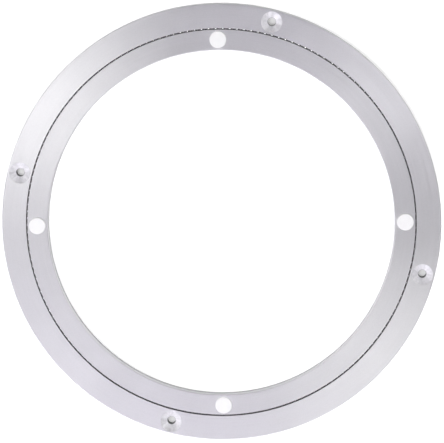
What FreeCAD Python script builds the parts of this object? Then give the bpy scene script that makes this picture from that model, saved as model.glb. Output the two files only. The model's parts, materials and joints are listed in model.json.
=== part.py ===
import FreeCAD, Part
import os
import Sketcher

# Lazy susan bearing: two flat aluminium rings that turn about one axis on a full ring of steel balls.
# The outer ring is screwed down through four countersunk holes. The inner ring carries the tray on
# four push-in rubber pads. The balls go in through a threaded hole in the outer rim, which a
# headless socket screw then closes.
#
# Lengths are in millimetres and angles in degrees, counter-clockwise from +X seen from above.
# The origin is on the axis, in the plane that the outer ring stands on, and +Z is up.

SIZES = {
    # Rings
    "outer_diameter": 250.0,
    "outer_ring_width": 13.85,
    "inner_ring_width": 11.75,
    "outer_ring_height": 8.5,
    "underside_clearance": 1.0,
    "slit_width": 0.7,
    "rim_chamfer": 0.5,
    "slit_chamfer": 0.15,
    # Balls and the races that hold them
    "ball_diameter": 4.0,
    "race_clearance": 0.15,
    "ball_spacing": 0.0145,
    "ball_slack": 1.0,
    "ball_gap_angle": 56.7,
    # Countersunk screw holes in the outer ring
    "screw_hole_count": 4,
    "screw_hole_angle": -14.0,
    "screw_hole_diameter": 4.5,
    "countersink_diameter": 12.0,
    "countersink_angle": 90.0,
    # Filling hole in the rim and the screw that closes it
    "filler_bore_clearance": 0.2,
    "filler_thread_depth": 0.4,
    "filler_shoulder": 0.6,
    "filler_recess": 1.35,
    "filler_lead_chamfer": 0.4,
    "filler_clearance": 0.1,
    "filler_screw_chamfer": 0.4,
    "filler_socket_width": 2.5,
    "filler_socket_depth": 2.5,
    # Rubber pads
    "pad_count": 4,
    "pad_angle": 0.9,
    "pad_offset": 0.2,
    "pad_diameter": 9.6,
    "pad_height": 1.5,
    "pad_edge_radius": 0.5,
    "pad_stem_diameter": 5.0,
    "pad_stem_clearance": 0.05,
    "pad_stem_chamfer": 0.4,
    "pad_stem_setback": 0.5,
}

# Sizes that follow from those above, as expressions on the sheet
RIM_RADIUS = "(sizes.outer_diameter / 2)"
OUTER_BORE_RADIUS = f"({RIM_RADIUS} - sizes.outer_ring_width)"
PITCH_RADIUS = f"({OUTER_BORE_RADIUS} - sizes.slit_width / 2)"
INNER_RIM_RADIUS = f"({OUTER_BORE_RADIUS} - sizes.slit_width)"
OPENING_RADIUS = f"({INNER_RIM_RADIUS} - sizes.inner_ring_width)"
TOP_HEIGHT = "sizes.outer_ring_height"
BALL_HEIGHT = "((sizes.outer_ring_height + sizes.underside_clearance) / 2)"
RACE_RADIUS = "(sizes.ball_diameter / 2 + sizes.race_clearance)"
BALL_STEP = "(sizes.ball_diameter + sizes.ball_spacing)"
BALL_STEP_ANGLE = f"(2 * asin({BALL_STEP} / 2 / {PITCH_RADIUS}))"
BALL_COUNT = f"floor((2 * pi * {PITCH_RADIUS} - sizes.ball_slack) / {BALL_STEP})"
BALL_GAP = f"(360 deg - ({BALL_COUNT} - 1) * {BALL_STEP_ANGLE})"
FIRST_BALL_ANGLE = f"(sizes.ball_gap_angle * 1 deg + {BALL_GAP} / 2)"
SCREW_CIRCLE_RADIUS = f"(({RIM_RADIUS} + {OUTER_BORE_RADIUS}) / 2)"
PAD_CIRCLE_RADIUS = f"(({OPENING_RADIUS} + {INNER_RIM_RADIUS}) / 2 + sizes.pad_offset)"
FILLER_ANGLE = "(sizes.screw_hole_angle + 180 + 180 / sizes.screw_hole_count)"
FILLER_BORE = "(sizes.ball_diameter + sizes.filler_bore_clearance)"
FILLER_THREAD = f"({FILLER_BORE} + 2 * sizes.filler_thread_depth)"
FILLER_SHOULDER_RADIUS = f"({PITCH_RADIUS} + {RACE_RADIUS} + sizes.filler_shoulder)"
FILLER_SCREW_START = f"({FILLER_SHOULDER_RADIUS} + sizes.filler_clearance)"
FILLER_SCREW_LENGTH = f"({RIM_RADIUS} - sizes.filler_recess - {FILLER_SCREW_START})"

# How far a cut runs past the face it leaves through
OVERRUN = 1.0
# How close an edge's radius and height must be to the wanted ones
MATCH = 0.001
# Numbers that a sketch gives to the points of each line or arc
START, END, CENTRE = range(1, 4)
# Numbers that a sketch gives to its own axes
H_AXIS, V_AXIS = range(-1, -3, -1)


def make_sheet(doc):
    """Put the driving sizes into a spreadsheet, one aliased cell each."""
    sheet = doc.addObject("Spreadsheet::Sheet", "sizes")
    for row, (name, value) in enumerate(SIZES.items(), 1):
        sheet.set(f"A{row}", name)
        sheet.set(f"B{row}", str(value))
        sheet.setAlias(f"B{row}", name)
    doc.recompute()
    return sheet


def measure(expression):
    """Value of an expression on the sheet, as a plain number."""
    value = sheet.evalExpression(expression)
    return float(getattr(value, "Value", value))


def make_body(name):
    """Start a sub-part: a body whose label is the sub-part's name."""
    body = doc.addObject("PartDesign::Body", name)
    body.Label = name
    return body


def origin_feature(body, role):
    """One of the body's own origin planes or axes."""
    return next(item for item in body.Origin.OriginFeatures if item.Role == role)


def make_sketch(body, name, plane, height=None, angle=None):
    """Start a sketch on an origin plane, raised to a height or turned about the vertical axis."""
    sketch = body.newObject("Sketcher::SketchObject", name)
    sketch.AttachmentSupport = [(origin_feature(body, plane), "")]
    sketch.MapMode = "FlatFace"
    if angle is not None:
        vertical = FreeCAD.Vector(0, 0, 1) if plane == "XY_Plane" else FreeCAD.Vector(0, 1, 0)
        turn = FreeCAD.Rotation(vertical, measure(angle))
        sketch.AttachmentOffset = FreeCAD.Placement(FreeCAD.Vector(), turn)
        sketch.setExpression("AttachmentOffset.Rotation.Angle", angle)
    if height is not None:
        sketch.setExpression("AttachmentOffset.Base.z", height)
    return sketch


def set_size(sketch, name, expression, kind, *places):
    """Add a named dimension to a sketch and tie it to the sheet."""
    index = sketch.addConstraint(Sketcher.Constraint(kind, *places, measure(expression)))
    sketch.renameConstraint(index, name)
    sketch.setExpression(f"Constraints.{name}", expression)


def draw_outline(sketch, points):
    """Draw a closed outline of straight sides, level and upright ones kept so, and number its sides."""
    corners = [FreeCAD.Vector(x, y, 0) for x, y in points]
    sides = []
    for here, there in zip(corners, corners[1:] + corners[:1]):
        side = sketch.addGeometry(Part.LineSegment(here, there))
        sides.append(side)
        if abs(here.x - there.x) < MATCH:
            sketch.addConstraint(Sketcher.Constraint("Vertical", side))
        elif abs(here.y - there.y) < MATCH:
            sketch.addConstraint(Sketcher.Constraint("Horizontal", side))
    for side, following in zip(sides, sides[1:] + sides[:1]):
        sketch.addConstraint(Sketcher.Constraint("Coincident", side, END, following, START))
    return sides


def draw_circle(sketch, name, diameter, centre_distance=None):
    """Draw a circle on the sketch's level axis, or at its origin, with its diameter tied to the sheet."""
    x = 0.0 if centre_distance is None else measure(centre_distance)
    disc = Part.Circle(FreeCAD.Vector(x, 0, 0), FreeCAD.Vector(0, 0, 1), measure(diameter) / 2)
    circle = sketch.addGeometry(disc)
    if centre_distance is None:
        sketch.addConstraint(Sketcher.Constraint("Coincident", circle, CENTRE, H_AXIS, START))
    else:
        sketch.addConstraint(Sketcher.Constraint("PointOnObject", circle, CENTRE, H_AXIS))
        set_size(sketch, f"{name}_distance", centre_distance, "DistanceX", H_AXIS, START, circle, CENTRE)
    set_size(sketch, f"{name}_diameter", diameter, "Diameter", circle)


def revolve(body, name, sketch, axis="V_Axis"):
    """Turn a sketch a full turn about one of its own lines to add material."""
    turned = body.newObject("PartDesign::Revolution", name)
    turned.Profile = sketch
    turned.ReferenceAxis = (sketch, [axis])
    turned.Angle = 360
    doc.recompute()
    return turned


def check_cut(feature):
    """Stop if a feature that should cut has taken nothing away."""
    doc.recompute()
    if feature.Shape.Volume >= feature.BaseFeature.Shape.Volume:
        raise RuntimeError(f"{feature.Label} cuts nothing")


def chamfer_rings(body, name, size, radii, heights):
    """Chamfer the circular edges about the axis that have one of these radii and heights."""
    base = body.Tip
    edges = []
    for number, edge in enumerate(base.Shape.Edges, 1):
        if not isinstance(edge.Curve, Part.Circle):
            continue
        fits_radius = any(abs(edge.Curve.Radius - radius) < MATCH for radius in radii)
        fits_height = any(abs(edge.Curve.Center.z - height) < MATCH for height in heights)
        if fits_radius and fits_height:
            edges.append(f"Edge{number}")
    chamfer = body.newObject("PartDesign::Chamfer", name)
    chamfer.Base = (base, edges)
    chamfer.setExpression("Size", size)
    check_cut(chamfer)


def repeat_round_axis(body, name, feature, count, step=None):
    """Repeat a feature about the body's Z axis, evenly over a full turn or at a fixed step."""
    pattern = body.newObject("PartDesign::PolarPattern", name)
    pattern.Originals = [feature]
    pattern.Axis = (origin_feature(body, "Z_Axis"), [""])
    pattern.setExpression("Occurrences", count)
    if step is None:
        pattern.Angle = 360
    else:
        pattern.Mode = "Spacing"
        pattern.setExpression("Offset", step)
    body.Tip = pattern
    doc.recompute()
    return pattern


def drill_holes(body, name, radius, angle, diameter, count, countersunk=False):
    """Drill equal holes straight down through a ring, on one circle, from its top face."""
    sketch = make_sketch(body, f"{name}_centre", "XY_Plane", TOP_HEIGHT, angle)
    draw_circle(sketch, "hole", diameter, radius)
    doc.recompute()
    hole = body.newObject("PartDesign::Hole", name)
    hole.Profile = sketch
    doc.recompute()
    hole.DepthType = "ThroughAll"
    hole.setExpression("Diameter", diameter)
    if countersunk:
        hole.HoleCutType = "Countersink"
        hole.setExpression("HoleCutDiameter", "sizes.countersink_diameter")
        hole.setExpression("HoleCutCountersinkAngle", "sizes.countersink_angle")
    check_cut(hole)
    repeat_round_axis(body, f"{name}_pattern", hole, count)


def make_ring(name, plain_radius, slit_radius, bottom):
    """Turn a flat ring with a round race in the wall that faces the slit."""
    body = make_body(name)
    sketch = make_sketch(body, f"{name}_section", "XZ_Plane")
    plain_x = measure(plain_radius)
    slit_x = measure(slit_radius)
    low = measure(bottom)
    top = measure(TOP_HEIGHT)
    centre = FreeCAD.Vector(measure(PITCH_RADIUS), measure(BALL_HEIGHT), 0)
    race_radius = measure(RACE_RADIUS)
    reach = (race_radius**2 - (centre.x - slit_x) ** 2) ** 0.5
    side = 1 if plain_x > slit_x else -1
    race_low = FreeCAD.Vector(slit_x, centre.y - reach, 0)
    race_top = FreeCAD.Vector(slit_x, centre.y + reach, 0)
    race_floor = FreeCAD.Vector(centre.x + side * race_radius, centre.y, 0)

    corners = [(slit_x, race_top.y), (slit_x, top), (plain_x, top), (plain_x, low), (slit_x, low)]
    corners = [FreeCAD.Vector(x, y, 0) for x, y in corners] + [race_low]
    upper_wall, face, plain_wall, underside, lower_wall = [
        sketch.addGeometry(Part.LineSegment(here, there)) for here, there in zip(corners, corners[1:])
    ]
    ends = (race_low, race_top) if side > 0 else (race_top, race_low)
    race = sketch.addGeometry(Part.Arc(ends[0], race_floor, ends[1]))
    low_end, top_end = (START, END) if side > 0 else (END, START)

    for wall in (upper_wall, plain_wall, lower_wall):
        sketch.addConstraint(Sketcher.Constraint("Vertical", wall))
    for level in (face, underside):
        sketch.addConstraint(Sketcher.Constraint("Horizontal", level))
    sides = [upper_wall, face, plain_wall, underside, lower_wall]
    for here, there in zip(sides, sides[1:]):
        sketch.addConstraint(Sketcher.Constraint("Coincident", here, END, there, START))
    sketch.addConstraint(Sketcher.Constraint("Coincident", lower_wall, END, race, low_end))
    sketch.addConstraint(Sketcher.Constraint("Coincident", race, top_end, upper_wall, START))

    set_size(sketch, "plain_radius", plain_radius, "DistanceX", H_AXIS, START, plain_wall, START)
    set_size(sketch, "slit_radius", slit_radius, "DistanceX", H_AXIS, START, upper_wall, START)
    set_size(sketch, "lower_slit_radius", slit_radius, "DistanceX", H_AXIS, START, lower_wall, START)
    set_size(sketch, "top", TOP_HEIGHT, "DistanceY", H_AXIS, START, face, START)
    if low < MATCH:
        sketch.addConstraint(Sketcher.Constraint("PointOnObject", underside, START, H_AXIS))
    else:
        set_size(sketch, "bottom", bottom, "DistanceY", H_AXIS, START, underside, START)
    set_size(sketch, "pitch_radius", PITCH_RADIUS, "DistanceX", H_AXIS, START, race, CENTRE)
    set_size(sketch, "race_height", BALL_HEIGHT, "DistanceY", H_AXIS, START, race, CENTRE)
    set_size(sketch, "race_radius", RACE_RADIUS, "Radius", race)
    revolve(body, f"{name}_turned", sketch)

    chamfer_rings(body, f"{name}_plain_edges", "sizes.rim_chamfer", [plain_x], [low, top])
    chamfer_rings(body, f"{name}_slit_edges", "sizes.slit_chamfer", [slit_x], [low, top])
    return body


def make_outer_ring():
    """The fixed ring: countersunk for four screws, with the filling hole in its rim."""
    body = make_ring("outer_ring", RIM_RADIUS, OUTER_BORE_RADIUS, "0")
    drill_holes(
        body,
        "screw_hole",
        SCREW_CIRCLE_RADIUS,
        "sizes.screw_hole_angle",
        "sizes.screw_hole_diameter",
        "sizes.screw_hole_count",
        countersunk=True,
    )

    sketch = make_sketch(body, "filler_section", "XZ_Plane", angle=FILLER_ANGLE)
    start = measure(PITCH_RADIUS)
    shoulder = measure(FILLER_SHOULDER_RADIUS)
    lead = measure("sizes.filler_lead_chamfer")
    rim = measure(RIM_RADIUS)
    axis = measure(BALL_HEIGHT)
    bore_top = axis + measure(FILLER_BORE) / 2
    thread_top = axis + measure(FILLER_THREAD) / 2
    outline = [
        (start, axis),
        (start, bore_top),
        (shoulder, bore_top),
        (shoulder, thread_top),
        (rim - lead, thread_top),
        (rim + OVERRUN, thread_top + lead + OVERRUN),
        (rim + OVERRUN, axis),
    ]
    inner_end, bore, step, thread, lead_in, outer_end, centre_line = draw_outline(sketch, outline)
    lead_start = f"{RIM_RADIUS} - sizes.filler_lead_chamfer"
    mouth_radius = f"{FILLER_THREAD} / 2 + sizes.filler_lead_chamfer + {OVERRUN}"
    set_size(sketch, "start", PITCH_RADIUS, "DistanceX", H_AXIS, START, inner_end, START)
    set_size(sketch, "shoulder", FILLER_SHOULDER_RADIUS, "DistanceX", H_AXIS, START, step, START)
    set_size(sketch, "lead_start", lead_start, "DistanceX", H_AXIS, START, thread, END)
    set_size(sketch, "mouth", f"{RIM_RADIUS} + {OVERRUN}", "DistanceX", H_AXIS, START, outer_end, END)
    set_size(sketch, "axis_height", BALL_HEIGHT, "DistanceY", H_AXIS, START, inner_end, START)
    set_size(sketch, "bore_radius", f"{FILLER_BORE} / 2", "DistanceY", inner_end, START, inner_end, END)
    set_size(sketch, "thread_radius", f"{FILLER_THREAD} / 2", "DistanceY", inner_end, START, thread, START)
    set_size(sketch, "mouth_radius", mouth_radius, "DistanceY", outer_end, END, outer_end, START)

    filler_hole = body.newObject("PartDesign::Groove", "filler_hole")
    filler_hole.Profile = sketch
    filler_hole.ReferenceAxis = (sketch, [f"Edge{centre_line + 1}"])
    filler_hole.Angle = 360
    check_cut(filler_hole)
    return body


def make_inner_ring():
    """The turning ring: its underside clears the surface, and four holes take the pads' stems."""
    body = make_ring("inner_ring", OPENING_RADIUS, INNER_RIM_RADIUS, "sizes.underside_clearance")
    drill_holes(
        body,
        "pad_hole",
        PAD_CIRCLE_RADIUS,
        "sizes.pad_angle",
        "sizes.pad_stem_diameter + 2 * sizes.pad_stem_clearance",
        "sizes.pad_count",
    )
    return body


def make_balls():
    """The full ring of loose balls, with the slack that filling leaves in one gap."""
    body = make_body("bearing_balls")
    sketch = make_sketch(body, "ball_section", "XZ_Plane")
    centre = FreeCAD.Vector(measure(PITCH_RADIUS), 0, 0)
    radius = measure("sizes.ball_diameter / 2")
    bottom = centre - FreeCAD.Vector(0, radius, 0)
    top = centre + FreeCAD.Vector(0, radius, 0)
    outside = centre + FreeCAD.Vector(radius, 0, 0)
    arc = sketch.addGeometry(Part.Arc(bottom, outside, top))
    axis = sketch.addGeometry(Part.LineSegment(top, bottom))
    sketch.addConstraint(Sketcher.Constraint("Coincident", arc, END, axis, START))
    sketch.addConstraint(Sketcher.Constraint("Coincident", axis, END, arc, START))
    sketch.addConstraint(Sketcher.Constraint("PointOnObject", arc, CENTRE, axis))
    sketch.addConstraint(Sketcher.Constraint("PointOnObject", arc, CENTRE, H_AXIS))
    sketch.addConstraint(Sketcher.Constraint("Vertical", axis))
    set_size(sketch, "pitch_radius", PITCH_RADIUS, "DistanceX", H_AXIS, START, arc, CENTRE)
    set_size(sketch, "ball_radius", "sizes.ball_diameter / 2", "Radius", arc)
    ball = revolve(body, "ball", sketch, f"Edge{axis + 1}")
    repeat_round_axis(body, "ball_ring", ball, BALL_COUNT, BALL_STEP_ANGLE)
    body.setExpression("Placement.Base.z", BALL_HEIGHT)
    body.setExpression("Placement.Rotation.Angle", FIRST_BALL_ANGLE)
    return body


def make_filler_screw():
    """The headless socket screw that closes the filling hole, lying along the ring's radius."""
    body = make_body("filler_screw")
    shank_sketch = make_sketch(body, "shank_circle", "YZ_Plane")
    draw_circle(shank_sketch, "shank", f"{FILLER_THREAD} - sizes.filler_clearance")
    shank = body.newObject("PartDesign::Pad", "shank")
    shank.Profile = shank_sketch
    shank.setExpression("Length", FILLER_SCREW_LENGTH)
    doc.recompute()

    ends = body.newObject("PartDesign::Chamfer", "shank_ends")
    circles = [
        f"Edge{number}"
        for number, edge in enumerate(shank.Shape.Edges, 1)
        if isinstance(edge.Curve, Part.Circle)
    ]
    ends.Base = (shank, circles)
    ends.setExpression("Size", "sizes.filler_screw_chamfer")
    check_cut(ends)

    socket = body.newObject("PartDesign::SubtractivePrism", "hexagon_socket")
    socket.AttachmentSupport = [(origin_feature(body, "YZ_Plane"), "")]
    socket.MapMode = "FlatFace"
    socket.Polygon = 6
    socket.setExpression("Circumradius", "sizes.filler_socket_width / 2 / cos(30)")
    socket.setExpression("Height", "sizes.filler_socket_depth")
    socket.setExpression("AttachmentOffset.Base.z", f"{FILLER_SCREW_LENGTH} - sizes.filler_socket_depth")
    check_cut(socket)

    body.setExpression("Placement.Base.x", f"{FILLER_SCREW_START} * cos({FILLER_ANGLE})")
    body.setExpression("Placement.Base.y", f"{FILLER_SCREW_START} * sin({FILLER_ANGLE})")
    body.setExpression("Placement.Base.z", BALL_HEIGHT)
    body.setExpression("Placement.Rotation.Angle", FILLER_ANGLE)
    return body


def make_pad(index):
    """A push-in rubber pad: a low round cap on the ring's face with a stem in the ring's hole."""
    body = make_body(f"rubber_pad_{index + 1}")
    sketch = make_sketch(body, f"pad_section_{index + 1}", "XZ_Plane")
    cap = measure("sizes.pad_diameter / 2")
    stem = measure("sizes.pad_stem_diameter / 2")
    height = measure("sizes.pad_height")
    stem_length = f"({TOP_HEIGHT} - sizes.underside_clearance - sizes.pad_stem_setback)"
    depth = measure(stem_length)
    outline = [(0, -depth), (stem, -depth), (stem, 0), (cap, 0), (cap, height), (0, height)]
    stem_end, stem_side, seat, cap_side, cap_top, centre_line = draw_outline(sketch, outline)
    sketch.addConstraint(Sketcher.Constraint("PointOnObject", centre_line, START, V_AXIS))
    sketch.addConstraint(Sketcher.Constraint("PointOnObject", seat, START, H_AXIS))
    stem_radius = "sizes.pad_stem_diameter / 2"
    set_size(sketch, "stem_radius", stem_radius, "DistanceX", stem_end, START, stem_end, END)
    set_size(sketch, "cap_radius", "sizes.pad_diameter / 2", "DistanceX", cap_top, END, cap_top, START)
    set_size(sketch, "stem_length", stem_length, "DistanceY", stem_side, START, stem_side, END)
    set_size(sketch, "cap_height", "sizes.pad_height", "DistanceY", cap_side, START, cap_side, END)
    turned = revolve(body, f"pad_turned_{index + 1}", sketch)

    top_edge = [
        f"Edge{number}"
        for number, edge in enumerate(turned.Shape.Edges, 1)
        if isinstance(edge.Curve, Part.Circle) and abs(edge.Curve.Center.z - height) < MATCH
    ]
    rounding = body.newObject("PartDesign::Fillet", f"pad_edge_{index + 1}")
    rounding.Base = (turned, top_edge)
    rounding.setExpression("Radius", "sizes.pad_edge_radius")
    check_cut(rounding)
    chamfer_rings(body, f"pad_stem_end_{index + 1}", "sizes.pad_stem_chamfer", [stem], [-depth])

    angle = f"(sizes.pad_angle + {index} * 360 / sizes.pad_count)"
    body.setExpression("Placement.Base.x", f"{PAD_CIRCLE_RADIUS} * cos({angle})")
    body.setExpression("Placement.Base.y", f"{PAD_CIRCLE_RADIUS} * sin({angle})")
    body.setExpression("Placement.Base.z", TOP_HEIGHT)
    return body


def check_document():
    """Stop if any object has failed or any sub-part has no sound shape."""
    for item in doc.Objects:
        if "Invalid" in item.State or "Error" in item.State:
            raise RuntimeError(f"{item.Label} has failed: {item.State}")
    for body in sub_parts:
        if body.Shape.isNull() or not body.Shape.isValid():
            raise RuntimeError(f"{body.Label} has no valid shape")


doc = FreeCAD.newDocument("lazy_susan_bearing")
sheet = make_sheet(doc)
sub_parts = [make_outer_ring(), make_inner_ring(), make_balls(), make_filler_screw()]
for pad_index in range(int(measure("sizes.pad_count"))):
    sub_parts.append(make_pad(pad_index))
doc.recompute()
check_document()

os.makedirs("parts", exist_ok=True)
for sub_part in sub_parts:
    sub_part.Shape.exportStep(f"parts/{sub_part.Label}.step")
    box = sub_part.Shape.BoundBox
    print(f"{sub_part.Label}: {len(sub_part.Shape.Solids)} solid(s), {sub_part.Shape.Volume:.1f} mm3,")
    print(f"  from {box.XMin:.3f} {box.YMin:.3f} {box.ZMin:.3f}")
    print(f"  to {box.XMax:.3f} {box.YMax:.3f} {box.ZMax:.3f}")
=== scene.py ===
import json
import math

import bmesh
import bpy
from mathutils import Matrix, Vector

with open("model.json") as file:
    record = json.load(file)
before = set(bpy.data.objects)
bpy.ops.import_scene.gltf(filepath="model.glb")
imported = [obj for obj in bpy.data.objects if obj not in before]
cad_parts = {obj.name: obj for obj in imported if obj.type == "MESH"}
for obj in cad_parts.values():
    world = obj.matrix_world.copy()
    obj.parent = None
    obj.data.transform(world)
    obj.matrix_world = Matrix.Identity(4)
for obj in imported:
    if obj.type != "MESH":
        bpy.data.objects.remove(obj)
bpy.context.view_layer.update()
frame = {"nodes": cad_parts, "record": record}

# Lazy susan bearing: satin turned aluminium rings, white rubber pads and polished steel balls, seen
# from above on a pale floor. Lengths are in metres and angles in degrees.

MM = 0.001
NODES = frame["nodes"]
BALLS = NODES["bearing_balls"]
PADS = [piece for name, piece in NODES.items() if name.startswith("rubber_pad")]

# Camera, from a fit to the rings, pads and holes in the photograph. Lens and sensor are in millimetres.
CAMERA_DISTANCE = 1.6035
CAMERA_TILT = 7.68
CAMERA_DIRECTION = 73.2
CAMERA_TARGET = Vector((0.27 * MM, 0.20 * MM, 0.0))
CAMERA_LENS = 227.5
CAMERA_SENSOR = 36.0
CAMERA_REACH = 10.0

# Screw holes, with the angle of the first one from +X, and the width of the painted shade round each hole
MOUNTS = {mount["name"]: mount for mount in frame["record"]["mounts"]}
SCREW_HOLES = MOUNTS["base_screw_holes"]["dims"]
SCREW_CIRCLE = SCREW_HOLES["pcd_mm"] / 2 * MM
SCREW_HOLE_RADIUS = SCREW_HOLES["hole_r_mm"] * MM
SCREW_HOLE_STEP = 360.0 / SCREW_HOLES["count"]
SCREW_HOLE_ANGLE = -14.0
COUNTERSINK_RADIUS = 6.0 * MM
HOLE_SHADE_WIDTH = 0.3 * MM

# The circle of the balls' centres, how far to each side of it the races reach, and the heights
# between which painted shade darkens the rings' upright walls towards their foot
PITCH_RADIUS = 110.8 * MM
RACE_REACH = 2.3 * MM
WALL_FOOT = 1.0 * MM
WALL_TOP = 8.0 * MM

# How much a face looks up, from 1 for a top to 0 for a wall: a chamfer or a countersink lies within
# SLOPE_REACH of SLOPE_TILT, and what is under WALL_TILT counts as a wall
SLOPE_TILT = math.cos(math.radians(45.0))
SLOPE_REACH = 0.03
WALL_TILT = 0.6

# The spans that the noises keep to nearly everywhere: a single noise, the grain and the mottle, which
# are each made of two
NOISE_SPAN = (0.3, 0.7)
GRAIN_SPAN = (0.25, 0.75)
MOTTLE_SPAN = (0.55, 0.95)

# Turned aluminium: colours, and the tones that multiply them. Plain metal is metal without a grain.
METAL_COLOURS = (0.660, 0.654, 0.672, 1.0), (0.672, 0.667, 0.681, 1.0)
HEIGHT_IN_PROFILE = 0.73
GRAIN_ROUGHNESS = (0.34, 0.50)
GRAIN_ANISOTROPY = 0.9
PLAIN_ROUGHNESS = 0.65
EDGE_ROUGHNESS = 0.7
EDGE_TONE = 1.05
# Painted shade darkens the walls of the race and of the screw holes
RACE_WALL_SHADE_TONE = 0.28
HOLE_WALL_SHADE_TONE = 0.12
HOLE_EDGE_SHADE_TONE = 0.2
COUNTERSINK_TONES = (1.08, 1.47)
COUNTERSINK_ROUGHNESS = (0.42, 0.66)
COUNTERSINK_METALLIC = 0.3
COUNTERSINK_PLAIN_SHARE = 0.85

# Rows of softboxes: for each elevation, the power in watts at each azimuth
SOFTBOX_ROWS = {
    20: {20: 0.8, 40: 0.9, 140: 0.2, 160: 0.2, 220: 1.2, 260: 0.6, 300: 0.4},
    45: {20: 3.1, 40: 3.5, 140: 0.8, 160: 1.4, 200: 1.8, 220: 2.6, 240: 3.9, 260: 4.3, 280: 3.0, 300: 2.1},
    60: {40: 0.4, 140: 0.6, 160: 4.2, 180: 3.1, 200: 1.0, 260: 0.6, 300: 1.8},
}
SOFTBOX_SIZE = 0.7
SOFTBOX_DISTANCE = 1.6
# The softboxes at the lower left and the bottom of the picture have a lilac tint
WHITE = (1.0, 1.0, 1.0)
LILAC = (1.0, 0.972, 1.07)
LILAC_AZIMUTHS = range(200, 300)
# The pads cast shadows only from the softboxes on the left
SHADOW_AZIMUTHS = range(120, 200)

# The balls' own softboxes, for the glints in the slit, and the floor's own one overhead
GLINT_ROW = {140: 3.5, 165: 7.5, 250: 4.8}
GLINT_ELEVATION = 60
GLINT_SIZE = 0.9
OVERHEAD_POWER = 30.0
OVERHEAD_SIZE = 1.6

# Floor, backdrop and world
FLOOR_RADIUS = 1.0
FLOOR_COLOUR = (0.9, 0.9, 0.9, 1.0)
FLOOR_ROUGHNESS = 0.9
BACKDROP_RADIUS = 4.0
WORLD_STRENGTH = 0.03


class Shader:
    """A material's node tree, with short calls to add and join nodes."""

    def __init__(self, name):
        self.material = bpy.data.materials.new(name)
        self.material.use_nodes = True
        self.tree = self.material.node_tree
        self.surface = self.tree.nodes["Principled BSDF"]

    def node(self, kind, inputs=None, **settings):
        """Add a node. An input's value is a number, a colour, or another node's output."""
        made = self.tree.nodes.new(kind)
        for name, value in settings.items():
            setattr(made, name, value)
        for name, value in (inputs or {}).items():
            self.join(made.inputs[name], value)
        return made

    def join(self, socket, value):
        """Give a socket a value, or link another node's output to it."""
        if isinstance(value, bpy.types.NodeSocket):
            self.tree.links.new(value, socket)
        else:
            socket.default_value = value

    def math(self, operation, *values):
        """One output that works out values with a maths node."""
        numbered = dict(enumerate(values))
        return self.node("ShaderNodeMath", numbered, operation=operation).outputs[0]

    def vector(self, operation, *values):
        """One output that works out vectors with a vector maths node."""
        numbered = dict(enumerate(values))
        return self.node("ShaderNodeVectorMath", numbered, operation=operation).outputs[0]

    def scale(self, vector, factor):
        """One output that multiplies a vector or colour by a number."""
        inputs = {0: vector, "Scale": factor}
        return self.node("ShaderNodeVectorMath", inputs, operation="SCALE").outputs[0]

    def length(self, vector):
        """One output that works out a vector's length."""
        return self.node("ShaderNodeVectorMath", {0: vector}, operation="LENGTH").outputs["Value"]

    def split(self, vector):
        """A vector's three parts."""
        return self.node("ShaderNodeSeparateXYZ", {0: vector}).outputs

    def combine(self, x, y, z=0.0):
        """One output with the vector that has these parts."""
        return self.node("ShaderNodeCombineXYZ", {0: x, 1: y, 2: z}).outputs[0]

    def place(self):
        """One output with the place on the object."""
        return self.node("ShaderNodeTexCoord").outputs["Object"]

    def normal(self):
        """One output with the direction that the surface faces."""
        return self.node("ShaderNodeNewGeometry").outputs["Normal"]

    def noise(self, place, scale, detail):
        """One output of soft noise between 0 and 1."""
        inputs = {"Vector": place, "Scale": scale, "Detail": detail}
        return self.node("ShaderNodeTexNoise", inputs).outputs["Fac"]

    def vary(self, value, noise, reach):
        """One output that noise moves up and down from a value, over this reach in all."""
        return self.math("MULTIPLY_ADD", self.math("SUBTRACT", noise, 0.5), reach, value)

    def spread(self, value, low, high, to_low, to_high):
        """One output that carries a value from one range over to another."""
        inputs = {"Value": value, "From Min": low, "From Max": high, "To Min": to_low, "To Max": to_high}
        return self.node("ShaderNodeMapRange", inputs).outputs["Result"]

    def bump(self, height, strength, depth):
        """One output with the direction that the surface faces once this relief is on it."""
        inputs = {"Height": height, "Strength": strength, "Distance": depth}
        return self.node("ShaderNodeBump", inputs).outputs[0]

    def mix(self, kind, factor, first, second):
        """One output between two numbers, vectors or colours."""
        place = ("FLOAT", "VECTOR", "RGBA").index(kind)
        inputs = {0: factor, 2 + 2 * place: first, 3 + 2 * place: second}
        return self.node("ShaderNodeMix", inputs, data_type=kind).outputs[place]

    def blend(self, share, first, second):
        """Make the material out of two surfaces, the second with the share given."""
        mixed = self.node("ShaderNodeMixShader", {0: share, 1: first, 2: second}).outputs[0]
        self.join(self.tree.nodes["Material Output"].inputs["Surface"], mixed)

    def set(self, **values):
        """Set the surface's own sockets, by name with spaces as underscores."""
        for name, value in values.items():
            self.join(self.surface.inputs[name.replace("_", " ")], value)


def turning_centre(shader, place):
    """Where a point lies from the axis it was turned about, and 1 or 0 for inside a countersink or not.

    Inside a countersink that axis is the screw hole's own, elsewhere it is the bearing's.
    """
    x, y = shader.split(place)[:2]
    flat = shader.combine(x, y)
    first = math.radians(SCREW_HOLE_ANGLE)
    step = math.radians(SCREW_HOLE_STEP)
    past_first = shader.math("SUBTRACT", shader.math("ARCTAN2", y, x), first)
    nearest = shader.math("ROUND", shader.math("DIVIDE", past_first, step))
    hole_turn = shader.math("MULTIPLY_ADD", nearest, step, first)
    hole_x = shader.math("MULTIPLY", shader.math("COSINE", hole_turn), SCREW_CIRCLE)
    hole_y = shader.math("MULTIPLY", shader.math("SINE", hole_turn), SCREW_CIRCLE)
    from_hole = shader.vector("SUBTRACT", flat, shader.combine(hole_x, hole_y))
    in_hole = shader.math("LESS_THAN", shader.length(from_hole), COUNTERSINK_RADIUS)
    return shader.mix("VECTOR", in_hole, flat, from_hole), in_hole


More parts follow.
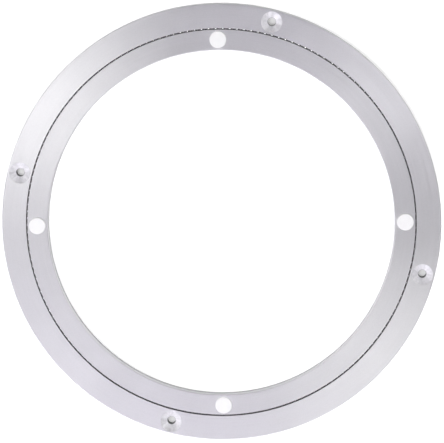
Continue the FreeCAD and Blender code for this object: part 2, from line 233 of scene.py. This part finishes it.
def across_grain(shader, centred):
    """The direction along the surface that crosses the turning marks, in world space."""
    x, y = shader.split(centred)[:2]
    around = shader.combine(shader.math("MULTIPLY", y, -1.0), x)
    around = shader.node(
        "ShaderNodeVectorTransform",
        {0: around},
        vector_type="VECTOR",
        convert_from="OBJECT",
        convert_to="WORLD",
    ).outputs[0]
    return shader.vector("NORMALIZE", shader.vector("CROSS_PRODUCT", around, shader.normal()))


def turned_noise(shader, place, profile, per_mm, along_per_m):
    """Noise drawn out into fine rings, with so many marks to a millimetre of the ring's profile."""
    across = shader.math("MULTIPLY", profile, per_mm / MM)
    x, y = shader.split(shader.scale(place, along_per_m))[:2]
    return shader.noise(shader.combine(across, x, y), scale=1.0, detail=2.0)


def countersink_tone(shader, place, centred, radius):
    """A countersink's tone: painted shade round the screw hole, with chatter marks that run down the cone.
    """
    # Painted shade: the cone darkens towards the screw hole
    dark_end = SCREW_HOLE_RADIUS + HOLE_SHADE_WIDTH
    hole_rim_shade = shader.spread(radius, SCREW_HOLE_RADIUS, dark_end, HOLE_EDGE_SHADE_TONE, 1.0)
    # Noise over the direction from the hole's axis, which drifts a little from place to place
    drift_per_m = 60.0
    outward = shader.vector("NORMALIZE", centred)
    round_hole = shader.vector("MULTIPLY_ADD", place, (drift_per_m,) * 3, outward)
    chatter = shader.noise(round_hole, scale=2.0, detail=2.0)
    patches = shader.noise(place, scale=900.0, detail=2.0)
    mottle = shader.math("MULTIPLY_ADD", patches, 0.5, chatter)
    return shader.math("MULTIPLY", hole_rim_shade, shader.spread(mottle, *MOTTLE_SPAN, *COUNTERSINK_TONES))


def ring_aluminium(name, brightness, plain_share, slit_edge_shade_tone, wall_shade_tones):
    """Satin turned aluminium: circular grain, faint blotches and brighter cut edges.

    The wall shade tones are those of the upright walls' foot and top; the darker foot is painted shade.
    """
    shader = Shader(name)
    place = shader.place()
    centred, in_hole = turning_centre(shader, place)
    radius = shader.length(centred)
    height = shader.split(place)[2]

    # The kinds of face, each 1 or 0. Chamfers are the edges, and slopes in a screw hole its countersink.
    tilt = shader.split(shader.normal())[2]
    slope = shader.math("COMPARE", tilt, SLOPE_TILT, SLOPE_REACH)
    cone = shader.math("MULTIPLY", slope, in_hole)
    edge = shader.math("SUBTRACT", slope, cone)
    wall = shader.math("LESS_THAN", shader.math("ABSOLUTE", tilt), WALL_TILT)
    race = shader.math("COMPARE", radius, PITCH_RADIUS, RACE_REACH)

    # Noises. Height counts in the profile so that the marks also go round the walls.
    profile = shader.math("MULTIPLY_ADD", height, HEIGHT_IN_PROFILE, radius)
    fine = turned_noise(shader, place, profile, per_mm=6.0, along_per_m=30.0)
    coarse = turned_noise(shader, place, profile, per_mm=1.1, along_per_m=18.0)
    blotch = shader.noise(place, scale=45.0, detail=2.0)
    speck = shader.noise(place, scale=1500.0, detail=1.0)

    grain = shader.vary(fine, coarse, reach=0.5)
    rough = shader.vary(shader.spread(grain, *GRAIN_SPAN, *GRAIN_ROUGHNESS), blotch, reach=0.06)
    rough = shader.mix("FLOAT", edge, rough, EDGE_ROUGHNESS)
    relief = shader.math("MULTIPLY_ADD", speck, 0.35, grain)
    bump = shader.bump(relief, strength=0.4, depth=0.01 * MM)

    tone = shader.vary(brightness, coarse, reach=0.07)
    tone = shader.vary(tone, blotch, reach=0.06)
    tone = shader.vary(tone, speck, reach=0.08)
    # Painted shade: chamfers at the slit take a darker tone
    tone = shader.mix("FLOAT", edge, tone, shader.mix("FLOAT", race, EDGE_TONE, slit_edge_shade_tone))
    # Painted shade: upright walls darker towards their foot, most of all in the race and in the screw
    # holes
    shaded_wall_tone = shader.spread(height, WALL_FOOT, WALL_TOP, *wall_shade_tones)
    shaded_wall_tone = shader.mix("FLOAT", race, shaded_wall_tone, RACE_WALL_SHADE_TONE)
    shaded_wall_tone = shader.mix("FLOAT", in_hole, shaded_wall_tone, HOLE_WALL_SHADE_TONE)
    tone = shader.mix("FLOAT", wall, tone, shaded_wall_tone)
    tint = shader.mix("RGBA", blotch, *METAL_COLOURS)
    colour = shader.scale(tint, tone)
    shader.set(
        Base_Color=colour,
        Metallic=1.0,
        Roughness=rough,
        Anisotropic=GRAIN_ANISOTROPY,
        Tangent=across_grain(shader, centred),
        Normal=bump,
    )

    # Plain metal is a small share of every face, and most of each countersink, which was cut more roughly
    cone_colour = shader.scale(tint, countersink_tone(shader, place, centred, radius))
    cone_rough = shader.spread(coarse, *NOISE_SPAN, *COUNTERSINK_ROUGHNESS)
    plain = shader.node(
        "ShaderNodeBsdfPrincipled",
        {
            "Base Color": shader.mix("RGBA", cone, colour, cone_colour),
            "Metallic": shader.mix("FLOAT", cone, 1.0, COUNTERSINK_METALLIC),
            "Roughness": shader.mix("FLOAT", cone, PLAIN_ROUGHNESS, cone_rough),
            "Normal": bump,
        },
    ).outputs[0]
    share = shader.mix("FLOAT", cone, plain_share, COUNTERSINK_PLAIN_SHARE)
    shader.blend(share, shader.surface.outputs[0], plain)
    return shader.material


def marked_material(name, metallic, colours, roughness, marks_per_m, clouds_per_m, strength, depth):
    """A surface with fine marks, in its relief and roughness, and a faint cloud between two colours."""
    shader = Shader(name)
    place = shader.place()
    marks = shader.noise(place, scale=marks_per_m, detail=3.0)
    cloud = shader.noise(place, scale=clouds_per_m, detail=2.0)
    shader.set(
        Base_Color=shader.mix("RGBA", cloud, *colours),
        Metallic=metallic,
        Roughness=shader.spread(marks, *NOISE_SPAN, *roughness),
        Normal=shader.bump(marks, strength, depth),
    )
    return shader.material


def pad_rubber():
    """Matt white moulded rubber with a fine mottle."""
    return marked_material(
        "white_rubber",
        metallic=0.0,
        colours=((0.78, 0.78, 0.775, 1.0), (0.86, 0.86, 0.85, 1.0)),
        roughness=(0.55, 0.72),
        marks_per_m=1400.0,
        clouds_per_m=220.0,
        strength=0.3,
        depth=0.02 * MM,
    )


def ball_steel():
    """Polished bearing steel with faint rolling marks."""
    return marked_material(
        "polished_steel",
        metallic=1.0,
        colours=((0.80, 0.80, 0.81, 1.0), (0.88, 0.88, 0.89, 1.0)),
        roughness=(0.06, 0.12),
        marks_per_m=2500.0,
        clouds_per_m=400.0,
        strength=0.1,
        depth=0.004 * MM,
    )


def screw_steel():
    """Plain machined steel, a little worn."""
    return marked_material(
        "machined_steel",
        metallic=1.0,
        colours=((0.36, 0.36, 0.38, 1.0), (0.46, 0.46, 0.47, 1.0)),
        roughness=(0.28, 0.42),
        marks_per_m=3000.0,
        clouds_per_m=500.0,
        strength=0.2,
        depth=0.01 * MM,
    )


def assign(piece, material):
    """Give a CAD node's object its material."""
    for slot in piece.material_slots:
        slot.material = material


def add_object(name, data):
    """Put a new object with this mesh, light or camera into the scene."""
    made = bpy.data.objects.new(name, data)
    bpy.context.scene.collection.objects.link(made)
    return made


def direction(azimuth, elevation):
    """The vector of length 1 that points this way."""
    turn, rise = math.radians(azimuth), math.radians(elevation)
    return Vector((math.cos(turn) * math.cos(rise), math.sin(turn) * math.cos(rise), math.sin(rise)))


def add_softbox(azimuth, elevation, size, power, group):
    """A soft square lamp that looks at the object from one direction and lights only this group."""
    light = bpy.data.lights.new("softbox", "AREA")
    light.shape = "SQUARE"
    light.size = size
    light.energy = power
    light.color = LILAC if azimuth in LILAC_AZIMUTHS else WHITE
    lamp = add_object("softbox", light)
    away = direction(azimuth, elevation)
    lamp.location = away * SOFTBOX_DISTANCE
    lamp.rotation_euler = away.to_track_quat("Z", "Y").to_euler()
    lamp.visible_camera = False
    lamp.light_linking.receiver_collection = group
    return lamp


def light_group(name, pieces, state):
    """A group for lamps with only these objects (INCLUDE) or with all but these (EXCLUDE)."""
    group = bpy.data.collections.new(name)
    for piece in pieces:
        group.objects.link(piece)
    for entry in group.collection_objects:
        entry.light_linking.link_state = state
    return group


def add_lights(floor):
    """Softboxes in rows around the bearing, a few for the balls and one above for the floor."""
    all_but_balls = light_group("all_but_balls", [BALLS], "EXCLUDE")
    all_but_pads = light_group("all_but_pads", PADS, "EXCLUDE")
    for elevation, row in SOFTBOX_ROWS.items():
        for azimuth, power in row.items():
            lamp = add_softbox(azimuth, elevation, SOFTBOX_SIZE, power, all_but_balls)
            if azimuth not in SHADOW_AZIMUTHS:
                lamp.light_linking.blocker_collection = all_but_pads
    only_balls = light_group("only_balls", [BALLS], "INCLUDE")
    for azimuth, power in GLINT_ROW.items():
        add_softbox(azimuth, GLINT_ELEVATION, GLINT_SIZE, power, only_balls)
    only_floor = light_group("only_floor", [floor], "INCLUDE")
    add_softbox(0, 90, OVERHEAD_SIZE, OVERHEAD_POWER, only_floor)


def make_camera():
    """The camera at the photograph's viewing angle, its upright along +Y."""
    data = bpy.data.cameras.new("camera")
    data.sensor_width = CAMERA_SENSOR
    data.lens = CAMERA_LENS
    data.clip_end = CAMERA_REACH
    camera = add_object("camera", data)
    back = direction(CAMERA_DIRECTION, 90.0 - CAMERA_TILT)
    right = Vector((0, 1, 0)).cross(back).normalized()
    up = back.cross(right)
    place = Matrix((right, up, back)).transposed().to_4x4()
    place.translation = CAMERA_TARGET + back * CAMERA_DISTANCE
    camera.matrix_world = place
    bpy.context.scene.camera = camera


def make_floor():
    """A plain pale table top under the bearing."""
    mesh = bpy.data.meshes.new("floor")
    disc = bmesh.new()
    bmesh.ops.create_circle(disc, cap_ends=True, segments=96, radius=FLOOR_RADIUS)
    disc.to_mesh(mesh)
    disc.free()
    floor = add_object("floor", mesh)
    shader = Shader("pale_floor")
    shader.set(Base_Color=FLOOR_COLOUR, Roughness=FLOOR_ROUGHNESS)
    mesh.materials.append(shader.material)
    return floor


def make_backdrop():
    """A plain backdrop all round, which the camera sees as white but which lights nothing."""
    mesh = bpy.data.meshes.new("backdrop")
    ball = bmesh.new()
    bmesh.ops.create_uvsphere(ball, u_segments=48, v_segments=24, radius=BACKDROP_RADIUS)
    ball.to_mesh(mesh)
    ball.free()
    backdrop = add_object("backdrop", mesh)
    shader = Shader("pale_backdrop")
    shader.set(Base_Color=(0.0, 0.0, 0.0, 1.0), Emission_Color=(*WHITE, 1.0), Emission_Strength=1.0)
    mesh.materials.append(shader.material)
    for kind in ("diffuse", "glossy", "transmission", "volume_scatter", "shadow"):
        setattr(backdrop, f"visible_{kind}", False)


def make_world():
    """Even white light from all round."""
    world = bpy.data.worlds.new("studio")
    world.use_nodes = True
    background = world.node_tree.nodes["Background"]
    background.inputs["Color"].default_value = (*WHITE, 1.0)
    background.inputs["Strength"].default_value = WORLD_STRENGTH
    bpy.context.scene.world = world


# The slit edges' tones and the walls' darker foot below are painted shade
outer_aluminium = ring_aluminium(
    "outer_aluminium",
    brightness=1.03,
    plain_share=0.15,
    slit_edge_shade_tone=0.92,
    wall_shade_tones=(0.5, 0.783),
)
inner_aluminium = ring_aluminium(
    "inner_aluminium",
    brightness=0.965,
    plain_share=0.25,
    slit_edge_shade_tone=0.45,
    wall_shade_tones=(0.25, 0.867),
)
rubber = pad_rubber()
assign(NODES["outer_ring"], outer_aluminium)
assign(NODES["inner_ring"], inner_aluminium)
assign(BALLS, ball_steel())
assign(NODES["filler_screw"], screw_steel())
for pad in PADS:
    assign(pad, rubber)

make_camera()
add_lights(make_floor())
make_backdrop()
make_world()
bpy.context.scene.view_settings.view_transform = "Standard"
